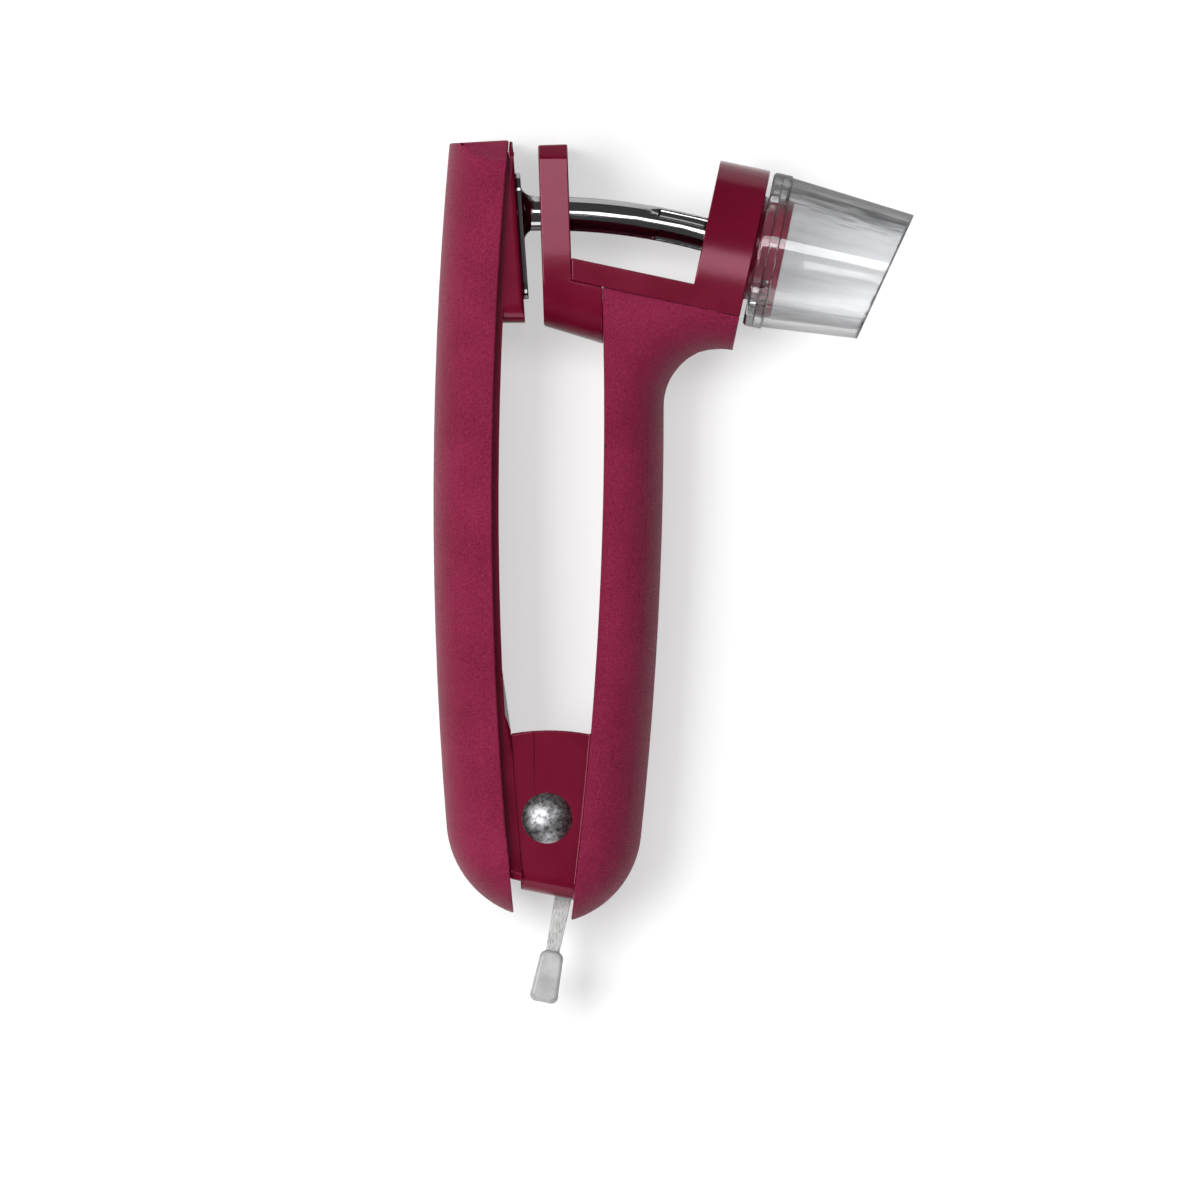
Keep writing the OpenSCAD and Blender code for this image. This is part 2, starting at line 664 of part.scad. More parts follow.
// Clear shield: collar with its bayonet flange, and a cone with a slanted mouth
module splatter_shield() color("#dfe3e6", 0.5) about_head() difference() {
    union() {
        translate([0, 0, rim_s]) rotate_extrude() polygon([
            [boss_r + bayonet_clear, 0], [collar_r - 0.4, 0], [collar_r, 0.4], [collar_r, collar_len],
            [cone_r[0], collar_len], [cone_end_r, shield_len + cone_run],
            [cone_end_r - shield_wall, shield_len + cone_run],
            [collar_bore_r, collar_len], [collar_bore_r, flange_thick],
            [boss_r + bayonet_clear, flange_thick]]);
        for (i = [0:2], a = [stop_angles[0], stop_angles[1]])
            segment(boss_r + bayonet_clear + 0.1, collar_bore_r + 0.4, a + 120 * i,
                a + stop_w + 120 * i, rim_s + flange_thick - 0.4, rim_s + collar_len - 0.2);
    }
    for (i = [0:2]) segment(boss_r - 1, lug_r + bayonet_clear, slot_start + 120 * i,
        slot_start + lug_angle[1] + 3 + 120 * i, rim_s - 1, rim_s + flange_thick + 0.1);
    translate([0, 0, rim_s + shield_len]) rotate([0, -shield_slant, 0])
        translate([-reach, -reach, 0]) cube([2 * reach, 2 * reach, reach]);
}

// Domed head of the rivet on a clevis cheek
module rivet_dome() {
    dome_r = (pow(rivet_head[0], 2) + pow(rivet_head[1], 2)) / (2 * rivet_head[1]);
    translate([0, 0, clevis_half]) intersection() {
        translate([0, 0, rivet_head[1] - dome_r]) sphere(dome_r);
        cylinder(r = 2 * rivet_head[0], h = 2 * rivet_head[1]);
    }
}

// Rivet: near head and the shank that the lever turns on
module pivot_rivet() color("#8f9296") {
    rivet_dome();
    translate([0, 0, -clevis_half]) cylinder(r = shank_r, h = 2 * clevis_half + 0.1);
}

// Far head, closed over the shank's end
module rivet_cap() color("#8f9296") mirror([0, 0, 1]) rivet_dome();

// Torsion spring: one leg on the lever's web, the coil round the rivet, one leg on the spine
module torsion_spring() color("#a5a8ac") {
    path = spring_path();
    sides = 6;
    rings = [for (i = [0:len(path) - 1]) ring_points(path, i, sides)];
    count = len(path);
    polyhedron(points = [for (r = rings, p = r) p],
        faces = concat(
            [[for (k = [0:sides - 1]) k]],
            [for (i = [0:count - 2], k = [0:sides - 1]) let(m = (k + 1) % sides)
                [i * sides + k, (i + 1) * sides + k, i * sides + m]],
            [for (i = [0:count - 2], k = [0:sides - 1]) let(m = (k + 1) % sides)
                [i * sides + m, (i + 1) * sides + k, (i + 1) * sides + m]],
            [[for (k = [sides - 1:-1:0]) (count - 1) * sides + k]]));
    echo(least_gap_in_spring = min([for (i = [0:len(path) - 1], j = [i + steps - 4:len(path) - 1])
        if (j > i + 6 && j < len(path)) norm(path[j] - path[i]) - wire_d]));
}

function coil_point(a, z) = [coil_r * cos(a), coil_r * sin(a), z];
function spring_path() = let(
    sweep_a = spring_to - spring_from + 360 * coil_turns,
    n = ceil(sweep_a / 360 * steps),
    first = coil_point(spring_from, -coil_half),
    last = coil_point(spring_to, coil_half))
    concat([first + leg_len[0] * [sin(spring_from), -cos(spring_from), 0]],
        [for (i = [0:n]) coil_point(spring_from + sweep_a * i / n, coil_half * (2 * i / n - 1))],
        [last + leg_len[1] * [-sin(spring_to), cos(spring_to), 0]]);
function unit(v) = v / norm(v);
function ring_points(path, i, sides) = let(
    along = unit(path[min(i + 1, len(path) - 1)] - path[max(i - 1, 0)]),
    u = unit(cross([0, 0, 1], along)),
    v = cross(along, u))
    [for (k = [0:sides - 1]) path[i] + wire_d / 2 * (u * cos(360 * k / sides) + v * sin(360 * k / sides))];

// Lock: strap beside the rivet, bar over the knuckles and two teeth
module lock_slider() color("#c9cacb", 0.8) at_lock() {
    tooth_low = catch_r + tooth_clear;
    linear_extrude(2 * strap_half, center = true) polygon([
        [strap_edge, lock_bar[1]], [strap_edge - strap_w[0], lock_bar[1]],
        [strap_edge - strap_w[0], -clevis_drop], [lock_offset - strap_w[1] / 2, -tab_start],
        [lock_offset - strap_w[1] / 2, -tab_start - strap_root],
        [lock_offset + strap_w[1] / 2, -tab_start - strap_root],
        [lock_offset + strap_w[1] / 2, -tab_start], [strap_edge, -clevis_drop]]);
    translate([tooth_w[0], lock_bar[0], -bar_half])
        cube([strap_edge - tooth_w[0], lock_bar[1] - lock_bar[0], 2 * bar_half]);
    for (side = [-1, 1]) translate([tooth_w[0], tooth_low, side > 0 ? knuckle_z[0] : -bar_half])
        cube([tooth_w[1] - tooth_w[0], lock_bar[0] - tooth_low + 0.1, bar_half - knuckle_z[0]]);
}

// Pull tab on the end of the strap
module lock_tab() color("#a9abad") at_lock() difference() {
    intersection() {
        linear_extrude(2 * tab_half, center = true)
            polygon([[lock_offset - tab_w[0] / 2, -tab_start], [lock_offset + tab_w[0] / 2, -tab_start],
                [lock_offset + tab_w[1] / 2, -tab_start - tab_len],
                [lock_offset - tab_w[1] / 2, -tab_start - tab_len]]);
        translate([0, -tab_start - tab_len, 0]) along_x(reach)
            round_start(2 * tab_half, tab_round, 2 * tab_len);
        translate([0, -tab_start, 0]) rotate([0, 0, 180]) along_x(reach)
            round_start(2 * tab_half, tab_round, 2 * tab_len);
    }
    translate([lock_offset - strap_w[1] / 2, -tab_start - strap_root, -strap_half])
        cube([strap_w[1], 2 * strap_root, 2 * strap_half]);
}

// Sets the drawing on the table, with the middle of its outline at the origin
module on_table() translate([-(x_min + x_max) / 2, -(y_min + y_max) / 2, half]) children();

on_table() lever_core();
on_table() lever_grip();
on_table() punch();
on_table() punch_screws();
on_table() frame_core();
on_table() frame_grip();
on_table() cherry_cup();
on_table() cup_screws();
on_table() splatter_shield();
on_table() pivot_rivet();
on_table() rivet_cap();
on_table() torsion_spring();
on_table() lock_slider();
on_table() lock_tab();
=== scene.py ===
import json
import math

import bpy
from mathutils import Matrix, Vector


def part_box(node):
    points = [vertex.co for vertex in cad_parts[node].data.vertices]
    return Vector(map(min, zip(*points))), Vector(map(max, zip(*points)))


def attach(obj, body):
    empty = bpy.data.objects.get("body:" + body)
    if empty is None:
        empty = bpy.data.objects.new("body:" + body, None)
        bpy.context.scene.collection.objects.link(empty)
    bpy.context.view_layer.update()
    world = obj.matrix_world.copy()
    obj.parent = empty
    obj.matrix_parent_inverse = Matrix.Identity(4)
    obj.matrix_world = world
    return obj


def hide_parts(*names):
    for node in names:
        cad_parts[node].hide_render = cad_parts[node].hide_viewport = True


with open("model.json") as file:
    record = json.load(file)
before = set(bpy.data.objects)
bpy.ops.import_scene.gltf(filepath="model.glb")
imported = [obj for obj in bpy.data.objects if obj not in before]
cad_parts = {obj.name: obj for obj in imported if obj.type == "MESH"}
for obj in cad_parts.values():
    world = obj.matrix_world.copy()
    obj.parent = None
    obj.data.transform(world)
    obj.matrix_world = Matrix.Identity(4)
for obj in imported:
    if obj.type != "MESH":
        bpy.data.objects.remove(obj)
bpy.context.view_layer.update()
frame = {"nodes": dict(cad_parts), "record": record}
nodes = frame["nodes"]
mm = 0.001
midPlane = 13.5  # mm over the table, half of the tool's depth
print("frame loaded with", len(nodes), "nodes")


# Materials
class Wire:  # a socket that can be used in sums
    def __init__(self, tree, socket):
        self.tree = tree
        self.socket = socket

    def maths(self, operation, first, second):
        return self.tree.add("ShaderNodeMath", {"operation": operation}, [first, second])

    def __add__(self, other):
        return self.maths("ADD", self, other)

    def __radd__(self, other):
        return self.maths("ADD", other, self)

    def __sub__(self, other):
        return self.maths("SUBTRACT", self, other)

    def __rsub__(self, other):
        return self.maths("SUBTRACT", other, self)

    def __mul__(self, other):
        return self.maths("MULTIPLY", self, other)

    def __rmul__(self, other):
        return self.maths("MULTIPLY", other, self)

    def atLeast(self, other):  # the greater of the two
        return self.maths("MAXIMUM", self, other)


class Tree:  # a node tree, whose nodes are all made by add
    def __init__(self, owner):
        owner.use_nodes = True
        self.nodeTree = owner.node_tree

    def add(self, kind, settings=None, inputs=(), output=0):
        node = self.nodeTree.nodes.new(kind)
        for key, value in (settings or {}).items():
            setattr(node, key, value)
        pairs = inputs.items() if isinstance(inputs, dict) else enumerate(inputs)
        for key, value in pairs:
            self.feed(node.inputs[key], value)
        return Wire(self, node.outputs[output])

    def feed(self, socket, value):
        if isinstance(value, Wire):
            self.nodeTree.links.new(value.socket, socket)
        else:
            socket.default_value = value


class Paint(Tree):  # one node material
    def __init__(self, name, **fixed):
        self.material = bpy.data.materials.new(name)
        super().__init__(self.material)
        self.shader = self.nodeTree.nodes["Principled BSDF"]
        self.output = self.nodeTree.nodes["Material Output"]
        self.set(**fixed)
        self.where = self.add("ShaderNodeTexCoord", output="Object")
        self.surface = Wire(self, self.shader.outputs[0])

    def set(self, **values):
        for name, value in values.items():
            self.feed(self.shader.inputs[name.replace("_", " ")], value)

    def blend(self, share, second):  # the surface becomes a share of another shader
        self.surface = self.add("ShaderNodeMixShader", {}, [share, self.surface, second])
        self.feed(self.output.inputs["Surface"], self.surface)

    def noise(self, size, detail=3.0, stretch=(1.0, 1.0, 1.0), turn=0.0, roughness=0.55):
        where = self.add("ShaderNodeMapping", {"vector_type": "TEXTURE"}, {
            "Vector": self.where, "Rotation": (0.0, 0.0, math.radians(turn)), "Scale": stretch})
        return self.add("ShaderNodeTexNoise", {}, {
            "Vector": where, "Scale": 1.0 / (size * mm), "Detail": detail, "Roughness": roughness})

    def along(self, direction):  # how far a point lies in a direction
        return self.add("ShaderNodeVectorMath", {"operation": "DOT_PRODUCT"},
                        [self.where, direction], output="Value")

    def between(self, value, low, high, to=(0.0, 1.0), smooth=True):
        return self.add("ShaderNodeMapRange",
                        {"interpolation_type": "SMOOTHSTEP" if smooth else "LINEAR"},
                        [value, low, high, to[0], to[1]])

    def mix(self, share, first, second):
        return self.add("ShaderNodeMix", {"data_type": "RGBA"},
                        {0: share, 6: first, 7: second}, output=2)

    def bump(self, height, depth):
        return self.add("ShaderNodeBump", {}, {
            "Strength": 1.0, "Distance": depth * mm, "Height": height})


def rgb(red, green, blue):  # screen colour 0-255 as a linear one
    def linear(c):
        c /= 255
        return c / 12.92 if c <= 0.04045 else ((c + 0.055) / 1.055) ** 2.4
    return (linear(red), linear(green), linear(blue), 1.0)


noiseMean = 0.5
mouldedIor, clearIor = 1.49, 1.46  # of the opaque and of the clear plastics
sheenTint = (1.0, 0.5, 0.64, 1.0)  # the maroon plastics shine a little pink
gripLook = {
    "deep": rgb(102, 22, 46),
    "pale": rgb(136, 39, 71),
    "grain": {"size": 0.3, "roughness": 0.65},  # sizes and depths of all finishes in mm
    "fine": {"size": 0.12, "detail": 2.0},
    "cloud": {"size": 14.0, "detail": 4.0},
    "contrast": (0.32, 0.68),
    "cloudShare": 0.35,
    "fineShare": 0.4,
    "depth": 0.18,
    "roughness": (0.44, 0.08),  # its base, and what a noise adds
    "shine": 0.07,
}


def gripSkin():
    look = gripLook
    paint = Paint("maroonGrip", IOR=mouldedIor, Specular_IOR_Level=look["shine"],
                  Specular_Tint=sheenTint)
    grain = paint.noise(**look["grain"])
    fine = paint.noise(**look["fine"])
    cloud = paint.noise(**look["cloud"])
    height = grain + look["cloudShare"] * (cloud - noiseMean)
    rough, spread = look["roughness"]
    paint.set(
        Base_Color=paint.mix(paint.between(height, *look["contrast"], smooth=False),
                             look["deep"], look["pale"]),
        Roughness=rough + spread * (fine - noiseMean),
        Normal=paint.bump(grain + look["fineShare"] * fine, look["depth"]))
    return paint.material


glossLook = {
    "deep": rgb(92, 8, 33),
    "pale": rgb(98, 11, 37),
    "cloud": {"size": 9.0, "detail": 4.0},
    "fine": {"size": 0.6},
    "contrast": (0.35, 0.65),
    "depth": 0.008,
    "roughness": (0.17, 0.06),
    "shine": 0.4,
}


def glossMaroon():
    look = glossLook
    paint = Paint("maroonGloss", IOR=mouldedIor, Specular_IOR_Level=look["shine"],
                  Specular_Tint=sheenTint)
    cloud = paint.noise(**look["cloud"])
    fine = paint.noise(**look["fine"])
    rough, spread = look["roughness"]
    paint.set(
        Base_Color=paint.mix(paint.between(cloud, *look["contrast"]), look["deep"], look["pale"]),
        Roughness=rough + spread * (cloud - noiseMean),
        Normal=paint.bump(fine, look["depth"]))
    return paint.material


steelLook = {
    "dark": (0.24, 0.24, 0.25, 1.0),
    "light": (0.38, 0.38, 0.39, 1.0),
    "drawn": {"size": 0.25, "detail": 4.0, "stretch": (12.0, 1.0, 1.0), "turn": -9.0},
    "depth": 0.002,
    "roughness": (0.06, 0.05),
}


def polishedSteel():  # faintly drawn along the punch
    look = steelLook
    paint = Paint("punchSteel", Metallic=1.0)
    drawn = paint.noise(**look["drawn"])
    rough, spread = look["roughness"]
    paint.set(
        Base_Color=paint.mix(drawn, look["dark"], look["light"]),
        Roughness=rough + spread * drawn,
        Normal=paint.bump(drawn, look["depth"]))
    return paint.material


rivetLook = {
    "dark": (0.08, 0.08, 0.083, 1.0),
    "light": (0.4, 0.4, 0.41, 1.0),
    "mottle": {"size": 0.9, "detail": 6.0, "roughness": 0.7},
    "scratch": {"size": 0.14, "stretch": (10.0, 1.0, 1.0), "turn": 35.0},
    "contrast": (0.34, 0.64),
    "scratchShare": 0.3,
    "scratchDepth": 0.4,
    "depth": 0.03,
    "roughness": (0.36, 0.14),
}


def satinSteel():
    look = rivetLook
    paint = Paint("rivetSteel", Metallic=1.0)
    mottle = paint.noise(**look["mottle"])
    scratch = paint.noise(**look["scratch"])
    worn = mottle + look["scratchShare"] * (scratch - noiseMean)
    rough, spread = look["roughness"]
    paint.set(
        Base_Color=paint.mix(paint.between(worn, *look["contrast"]), look["dark"], look["light"]),
        Roughness=rough + spread * mottle,
        Normal=paint.bump(mottle + look["scratchDepth"] * scratch, look["depth"]))
    return paint.material


screwLook = {
    "dark": (0.45, 0.45, 0.46, 1.0),
    "light": (0.6, 0.6, 0.61, 1.0),
    "turned": {"size": 0.3},
    "depth": 0.006,
    "roughness": (0.25, 0.12),
}


def screwSteel():
    look = screwLook
    paint = Paint("screwSteel", Metallic=1.0)
    turned = paint.noise(**look["turned"])
    rough, spread = look["roughness"]
    paint.set(
        Base_Color=paint.mix(turned, look["dark"], look["light"]),
        Roughness=rough + spread * turned,
        Normal=paint.bump(turned, look["depth"]))
    return paint.material


clearLook = {
    "pale": (0.86, 0.865, 0.87, 1.0),
    # painted reflection: the grey of the streaks that stand in for reflected surroundings
    "paintedReflection": (0.7, 0.705, 0.71, 1.0),
    # painted shade: dark where the wall is seen endways, standing in for reflected dark
    # surroundings
    "edge": (0.1, 0.1, 0.105, 1.0),
    # painted shade: a dark see-through sheet mixed in at the rims
    "rim": (0.3, 0.3, 0.305, 1.0),
    "shadow": (0.88, 0.88, 0.89, 1.0),
    "reflectionStreaks": {"size": 3.4, "detail": 2.0, "stretch": (14.0, 1.0, 1.0), "turn": -12.0},
    "thin": {"size": 0.9, "detail": 2.0, "stretch": (16.0, 1.0, 1.0), "turn": -12.0},
    "contrast": (0.38, 0.66),
    "roughness": (0.01, 0.02),
    "endwaysShadeFrom": (0.3, 0.8),
    "rimFrom": (0.24, 0.52),
    "thinShare": 0.7,
    "rimShadeShare": 0.65,
    "across": (0.2079, 0.9781, 0.0),  # square to the shield's axis, which lies at axisAt
    "axisAt": 57.95,  # mm
    "shadeWeakBelow": -4.0,  # mm from the axis, where the painted shade at the rims is weak and where full
    "shadeFullAbove": 5.0,
    "lowerShadeShare": 0.25,
    "mouthNormal": (0.908, -0.419, 0.0),
    "mouthAt": 11.68,  # mm
    "mouthShadeLine": (0.3, 0.15),  # mm inside the mouth, where its painted dark shade line starts and is full
}


def clearPlastic():  # painted reflections and shade: darker where its wall is seen endways, more so along its upper side and in a line inside the mouth, with painted reflection streaks along it
    look = clearLook
    paint = Paint("clearPlastic", Transmission_Weight=1.0, IOR=clearIor)
    # painted reflection streaks; the same noise also varies the roughness
    reflectionStreaks = paint.noise(**look["reflectionStreaks"])
    thin = paint.noise(**look["thin"])
    facing = paint.add("ShaderNodeLayerWeight", {}, {"Blend": 0.5}, output="Facing")
    # painted shade where the wall is seen endways
    edge = paint.between(facing, *look["endwaysShadeFrom"])
    # painted shade at the rims, streaky, strongest on the upper side
    rim = paint.between(facing + look["thinShare"] * (thin - noiseMean), *look["rimFrom"])
    rim = rim * paint.between(paint.along(look["across"]),
                              (look["axisAt"] + look["shadeWeakBelow"]) * mm,
                              (look["axisAt"] + look["shadeFullAbove"]) * mm,
                              to=(look["lowerShadeShare"], 1.0))
    # painted shade: a dark line inside the mouth
    mouth = paint.between(paint.along(look["mouthNormal"]),
                          *[(look["mouthAt"] - line) * mm for line in look["mouthShadeLine"]])
    body = paint.mix(paint.between(reflectionStreaks, *look["contrast"]), look["pale"], look["paintedReflection"])
    rough, spread = look["roughness"]
    paint.set(
        Base_Color=paint.mix(edge, body, look["edge"]),
        Roughness=rough + spread * reflectionStreaks)
    # the dark see-through sheet of painted shade at the rims and inside the mouth
    paint.blend(rim.atLeast(mouth) * look["rimShadeShare"],
                paint.add("ShaderNodeBsdfTransparent", {}, {"Color": look["rim"]}))
    paint.blend(paint.add("ShaderNodeLightPath", output="Is Shadow Ray"),
                paint.add("ShaderNodeBsdfTransparent", {}, {"Color": look["shadow"]}))
    return paint.material


frostedLook = {
    "dark": rgb(150, 150, 150),
    "light": rgb(208, 208, 207),
    "scratch": {"size": 0.2, "detail": 4.0, "stretch": (1.0, 5.0, 1.0), "turn": -11.0},
    "cloud": {"size": 2.2},
    "contrast": (0.5, 0.9),
    "cloudShare": 0.4,
    "depth": 0.01,
    "roughness": (0.36, 0.14),
    "clear": 0.25,
}


def frostedPlastic():
    look = frostedLook
    paint = Paint("frostedPlastic", Transmission_Weight=look["clear"], IOR=clearIor)
    scratch = paint.noise(**look["scratch"])
    cloud = paint.noise(**look["cloud"])
    frost = look["cloudShare"] * cloud + scratch
    rough, spread = look["roughness"]
    paint.set(
        Base_Color=paint.mix(paint.between(frost, *look["contrast"]), look["dark"], look["light"]),
        Roughness=rough + spread * scratch,
        Normal=paint.bump(scratch, look["depth"]))
    return paint.material


tabLook = {
    "dark": rgb(148, 148, 149),
    "light": rgb(172, 172, 172),
    "cloud": {"size": 3.5},
    "fine": {"size": 0.15},
    "contrast": (0.3, 0.7),
    "depth": 0.006,
    "roughness": (0.34, 0.1),
}


def greyPlastic():
    look = tabLook
    paint = Paint("greyPlastic", IOR=mouldedIor)
    cloud = paint.noise(**look["cloud"])
    fine = paint.noise(**look["fine"])
    rough, spread = look["roughness"]
    paint.set(
        Base_Color=paint.mix(paint.between(cloud, *look["contrast"]), look["dark"], look["light"]),
        Roughness=rough + spread * fine,
        Normal=paint.bump(fine, look["depth"]))
    return paint.material


finishes = {
    "maroon_grip": gripSkin(),
    "maroon_gloss": glossMaroon(),
    "punch_steel": polishedSteel(),
    "rivet_steel": satinSteel(),
    "screw_steel": screwSteel(),
    "clear_plastic": clearPlastic(),
    "frosted_plastic": frostedPlastic(),
    "grey_plastic": greyPlastic(),
}
record = frame["record"]
slotOf = {part["node"]: part["material_slot"] for part in record["subparts"]}
bodyOf = {node: body for body, members in record["behaviour"]["bodies"].items() for node in members}
for nodeName, slotName in slotOf.items():
    nodes[nodeName].data.materials.clear()
    nodes[nodeName].data.materials.append(finishes[slotName])
print("materials made")


# Work on pieces, with lengths in mm and angles in degrees
merging = {"within": 0.01, "flatTo": 0.5, "cutWithin": 0.001}
rounding = {
    "segments": 3,
    "from": 35.0,  # an edge at a smaller angle stays, and is shaded smooth
    "shortest": 0.5,  # of the rounding's width
    "narrowest": 2.2,
    "flatsFirst": 80,
}


def onlySelect(piece):
    bpy.ops.object.select_all(action="DESELECT")
    piece.select_set(True)
    bpy.context.view_layer.objects.active = piece


def pickAfresh(kind):  # nothing is selected, and object mode is back for picking in code
    bpy.ops.object.mode_set(mode="EDIT")
    bpy.ops.mesh.select_mode(type=kind)
    bpy.ops.mesh.select_all(action="DESELECT")
    bpy.ops.object.mode_set(mode="OBJECT")


def workCopy(node, name):  # a merged copy of a solid, to be shaped further
    piece = nodes[node].copy()
    piece.data = nodes[node].data.copy()
    piece.name = piece.data.name = name
    piece.parent = None
    for key in list(piece.keys()):
        del piece[key]
    bpy.context.scene.collection.objects.link(piece)
    onlySelect(piece)
    bpy.ops.mesh.customdata_custom_splitnormals_clear()
    bpy.ops.object.mode_set(mode="EDIT")
    bpy.ops.mesh.select_all(action="SELECT")
    bpy.ops.mesh.remove_doubles(threshold=merging["within"] * mm)
    bpy.ops.mesh.dissolve_limited(angle_limit=math.radians(merging["flatTo"]))
    bpy.ops.object.mode_set(mode="OBJECT")
    return piece


def cutBeyond(piece, at, normal):  # cuts off what lies beyond a plane, given in mm on the table
    onlySelect(piece)
    bpy.ops.object.mode_set(mode="EDIT")
    bpy.ops.mesh.select_all(action="SELECT")
    bpy.ops.mesh.bisect(plane_co=[c * mm for c in at], plane_no=normal, use_fill=True,
                        clear_outer=True, threshold=merging["cutWithin"] * mm)
    bpy.ops.object.mode_set(mode="OBJECT")


def roundEdges(piece, width, corner=rounding["from"], inside=None):
    mesh = piece.data
    sides = {}
    for face in mesh.polygons:
        for key in face.edge_keys:
            sides.setdefault(key, []).append(face)
    shortest = rounding["shortest"] * width * mm
    narrowest = rounding["narrowest"] * width * mm
    chosen = []
    for edge in mesh.edges:
        pair = sides.get(edge.key, ())
        if len(pair) != 2 or pair[0].normal.angle(pair[1].normal, 0.0) < math.radians(corner):
            continue
        start, end = (mesh.vertices[v].co for v in edge.vertices)
        along = end - start
        if along.length < shortest or (inside and not inside((start + end) / (2 * mm))):
            continue
        along.normalize()  # an edge is rounded only where both its faces have room
        reach = [max((mesh.vertices[v].co - start).cross(along).length for v in face.vertices)
                 for face in pair]
        if min(reach) > narrowest:
            chosen.append(edge.index)
    onlySelect(piece)
    pickAfresh("EDGE")
    for index in chosen:
        mesh.edges[index].select = True
    bpy.ops.object.mode_set(mode="EDIT")
    bpy.ops.mesh.bevel(offset=width * mm, segments=rounding["segments"], affect="EDGES",
                       clamp_overlap=False, loop_slide=True)
    bpy.ops.object.mode_set(mode="OBJECT")


def finishPiece(piece, node, corner=rounding["from"]):  # flats stay flat; it replaces its node
    onlySelect(piece)
    bpy.ops.object.shade_smooth_by_angle(angle=math.radians(corner))
    flats = piece.modifiers.new("flats", "WEIGHTED_NORMAL")
    flats.keep_sharp = True
    flats.weight = rounding["flatsFirst"]
    bpy.ops.object.modifier_apply(modifier=flats.name)
    bpy.ops.object.transform_apply(location=True, rotation=True, scale=True)
    piece.data.materials.clear()
    piece.data.materials.append(finishes[slotOf[node]])
    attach(piece, bodyOf[node])
    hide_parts(node)


leverShape = {"topSlope": 3.0, "roofFrom": 9.0, "roofSteep": 0.8, "round": 0.4}


def leverGrip():
    piece = workCopy("lever_grip", "leverGrip")
    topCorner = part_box("lever_grip")[1]
    lean = math.tan(math.radians(leverShape["topSlope"]))
    for side in (-1, 1):  # the roof at the top end falls off to both sides
        cutBeyond(piece,
                  (topCorner.x / mm, topCorner.y / mm, midPlane + side * leverShape["roofFrom"]),
                  (-lean, 1.0, side * leverShape["roofSteep"]))
    roundEdges(piece, leverShape["round"])
    finishPiece(piece, "lever_grip")


guideShape = {
    "draftFrom": 53.0,  # along Y on the table, with the steeper draft a step further up
    "draft": (1.8, 4.2),
    "draftStep": 3.0,
    "roofFrom": 9.9,
    "roofSteep": 1.15,
    "round": 0.3,
}


def frameCore():
    piece = workCopy("frame_core", "frameCore")
    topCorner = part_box("frame_core")[1]
    step = guideShape["draftStep"]
    for side in (-1, 1):
        for turn, angle in enumerate(guideShape["draft"]):  # the guide plate thins towards its top
            before = math.tan(math.radians(guideShape["draft"][0])) * step if turn else 0.0
            start = guideShape["draftFrom"] + turn * step
            cutBeyond(piece, (0.0, start, midPlane + side * (midPlane - before)),
                      (0.0, math.tan(math.radians(angle)), side))
        cutBeyond(piece,
                  (0.0, topCorner.y / mm, midPlane + side * guideShape["roofFrom"]),
                  (0.0, 1.0, side * guideShape["roofSteep"]))
    roundEdges(piece, guideShape["round"])
    finishPiece(piece, "frame_core")


linerShape = {
    "below": -26.0,  # along Y on the table
    "deeper": 10.3,  # from the middle plane, with the outer faces past topDeeper
    "topDeeper": 11.0,
    "lipCentre": (648.61, 12.28),
    "lipRadius": 679.0,
    "wider": 1.0,
    "slope": 0.85,
    "round": 0.15,
}


def leverCore():  # its two liners reach as far as the clevis, and slope down to it
    piece = workCopy("lever_core", "leverCore")
    lipX, lipY = linerShape["lipCentre"]
    for side in (-1, 1):
        for high in (False, True):
            onlySelect(piece)
            pickAfresh("VERT")
            for corner in piece.data.vertices:
                x, y, z = (c / mm for c in corner.co)
                depth = (z - midPlane) * side
                corner.select = (y < linerShape["below"] and depth > linerShape["deeper"]
                                 and math.hypot(x - lipX, y - lipY) < linerShape["lipRadius"]
                                 and (depth > linerShape["topDeeper"]) == high)
            bpy.ops.object.mode_set(mode="EDIT")
            drop = linerShape["slope"] * side * mm if high else 0.0
            bpy.ops.transform.translate(value=(linerShape["wider"] * mm, 0, -drop))
            bpy.ops.object.mode_set(mode="OBJECT")
    roundEdges(piece, linerShape["round"])
    finishPiece(piece, "lever_core")


punchShape = {
    "plateRound": 0.2,
    "plateUpTo": -24.0,
    "fluteRound": 0.08,
    "roundFrom": 60.0,
    "smoothUpTo": 50.0,
}


def punchRod():
    piece = workCopy("punch", "punchRod")
    plateEnd, corner = punchShape["plateUpTo"], punchShape["roundFrom"]
    roundEdges(piece, punchShape["plateRound"], corner, inside=lambda at: at.x < plateEnd)
    roundEdges(piece, punchShape["fluteRound"], corner, inside=lambda at: at.x > plateEnd)
    finishPiece(piece, "punch", punchShape["smoothUpTo"])


tabShape = {
    "at": (-21.79, -69.85, midPlane),
    "size": (4.95, 9.0, 8.4),
    "turn": -11.0,
    "top": 0.8,
    "corner": 1.3,
    "cornerSegments": 6,
    "rim": 0.7,
    "rimSegments": 5,
    "smoothUpTo": 50.0,
}


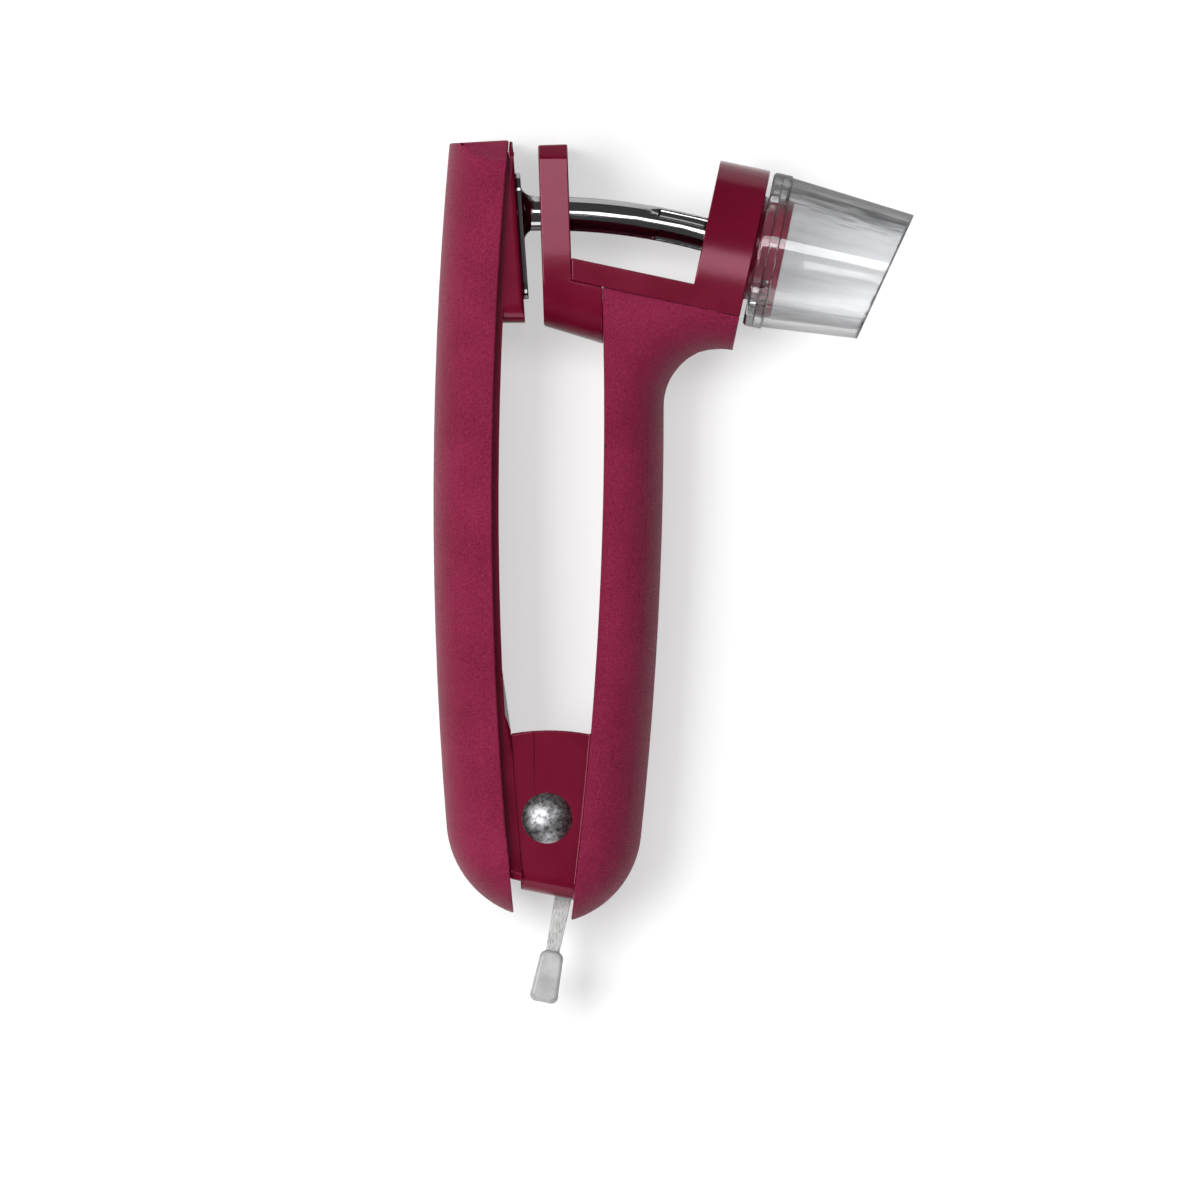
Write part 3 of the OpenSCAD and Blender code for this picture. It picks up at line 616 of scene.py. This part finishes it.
def lockTab():  # a rounded block, narrower at the strap
    at = [c * mm for c in tabShape["at"]]
    bpy.ops.object.select_all(action="DESELECT")
    bpy.ops.mesh.primitive_cube_add(size=1, location=at, scale=[c * mm for c in tabShape["size"]])
    piece = bpy.context.object
    piece.name = "lockTab"
    bpy.ops.object.transform_apply(location=False, rotation=False, scale=True)
    mesh = piece.data
    pickAfresh("VERT")
    for corner in mesh.vertices:
        corner.select = corner.co.y > 0
    bpy.ops.object.mode_set(mode="EDIT")
    bpy.ops.transform.resize(value=(tabShape["top"], 1, 1), center_override=at)
    pickAfresh("EDGE")
    for edge in mesh.edges:  # the four upright edges
        start, end = (mesh.vertices[v].co for v in edge.vertices)
        edge.select = abs(start.z - end.z) > mm
    bpy.ops.object.mode_set(mode="EDIT")
    bpy.ops.mesh.bevel(offset=tabShape["corner"] * mm, segments=tabShape["cornerSegments"],
                       affect="EDGES")
    pickAfresh("EDGE")
    high = max(corner.co.z for corner in mesh.vertices)
    for edge in mesh.edges:  # the rims of both broad faces
        heights = [abs(mesh.vertices[v].co.z) for v in edge.vertices]
        edge.select = all(abs(height - high) < merging["within"] * mm for height in heights)
    bpy.ops.object.mode_set(mode="EDIT")
    bpy.ops.mesh.bevel(offset=tabShape["rim"] * mm, segments=tabShape["rimSegments"],
                       affect="EDGES")
    bpy.ops.object.mode_set(mode="OBJECT")
    piece.rotation_euler.z = math.radians(tabShape["turn"])
    finishPiece(piece, "lock_tab", tabShape["smoothUpTo"])


leverGrip()
frameCore()
leverCore()
punchRod()
lockTab()
roundedOnly = {
    "frame_grip": ("frameGrip", 0.4),
    "cherry_cup": ("cherryCup", 0.25),
    "splatter_shield": ("splatterShield", 0.15),
    "lock_slider": ("lockSlider", 0.15),
}
for nodeName, (pieceName, width) in roundedOnly.items():
    edited = workCopy(nodeName, pieceName)
    roundEdges(edited, width)
    finishPiece(edited, nodeName)
print("pieces shaped and rounded")

# Floor, lamps and camera, in metres and watts
studio = {
    "floorSize": 3.0,
    "floorColour": (0.97, 0.97, 0.97, 1.0),
    "floorRoughness": 0.9,
    "floorLift": 0.5,
    "glossLift": 0.12,
    "skyColour": (1.0, 1.0, 1.0, 1.0),
    "skyStrength": 0.06,
    "cameraAt": (-0.01275, -0.00469, 1.0),
    "cameraWidth": 0.20766,
}
lamps = {
    "keyLamp": {"at": (-0.85, 0.1, 1.5), "size": (0.9, 1.1), "power": 31.0},
    "overLamp": {"at": (0.0, 0.42, 1.6), "size": (1.5, 0.4), "power": 12.0},
    "lowLamp": {"at": (0.05, -0.85, 0.3), "size": (0.5, 0.5), "power": 1.8},
}


def seenShare(tree):  # 1 where the camera sees it or through glass, and a share of it in gloss
    camera = tree.add("ShaderNodeLightPath", output="Is Camera Ray")
    gloss = tree.add("ShaderNodeLightPath", output="Is Glossy Ray")
    through = tree.add("ShaderNodeLightPath", output="Is Transmission Ray")
    return camera.atLeast(through).atLeast(studio["glossLift"] * gloss)


def whiteFloor():  # lifted towards white, and it keeps the shadow
    paint = Paint("paleFloor", Base_Color=studio["floorColour"],
                  Roughness=studio["floorRoughness"], Specular_IOR_Level=0.0)
    paint.blend(seenShare(paint) * studio["floorLift"],
                paint.add("ShaderNodeEmission", {}, {"Strength": 1.0}))
    return paint.material


bpy.ops.object.select_all(action="DESELECT")
bpy.ops.mesh.primitive_plane_add(size=studio["floorSize"], location=(0, 0, 0))
floor = bpy.context.object
floor.name = "floor"
floor.data.materials.append(whiteFloor())

world = bpy.data.worlds.new("studio")
bpy.context.scene.world = world
sky = Tree(world)  # white where it is seen, and dim as a light
background = sky.nodeTree.nodes["Background"].inputs
sky.feed(background["Color"], studio["skyColour"])
sky.feed(background["Strength"], seenShare(sky).atLeast(studio["skyStrength"]))

for lampName, spec in lamps.items():
    lamp = bpy.data.lights.new(lampName, "AREA")
    lamp.shape = "RECTANGLE"
    lamp.size, lamp.size_y = spec["size"]
    lamp.energy = spec["power"]
    holder = bpy.data.objects.new(lampName, lamp)
    holder.location = spec["at"]
    back = Vector(spec["at"]).normalized()  # square to the middle, its long side along X
    side = (Vector((1.0, 0.0, 0.0)) - back * back.x).normalized()
    holder.rotation_euler = Matrix((side, back.cross(side), back)).transposed().to_euler()
    bpy.context.scene.collection.objects.link(holder)

camera = bpy.data.cameras.new("photoCamera")
camera.type = "ORTHO"
camera.ortho_scale = studio["cameraWidth"]
cameraHolder = bpy.data.objects.new("photoCamera", camera)
cameraHolder.location = studio["cameraAt"]
bpy.context.scene.collection.objects.link(cameraHolder)
bpy.context.scene.camera = cameraHolder
bpy.context.scene.view_settings.view_transform = "Standard"
print("floor, lamps and camera set")
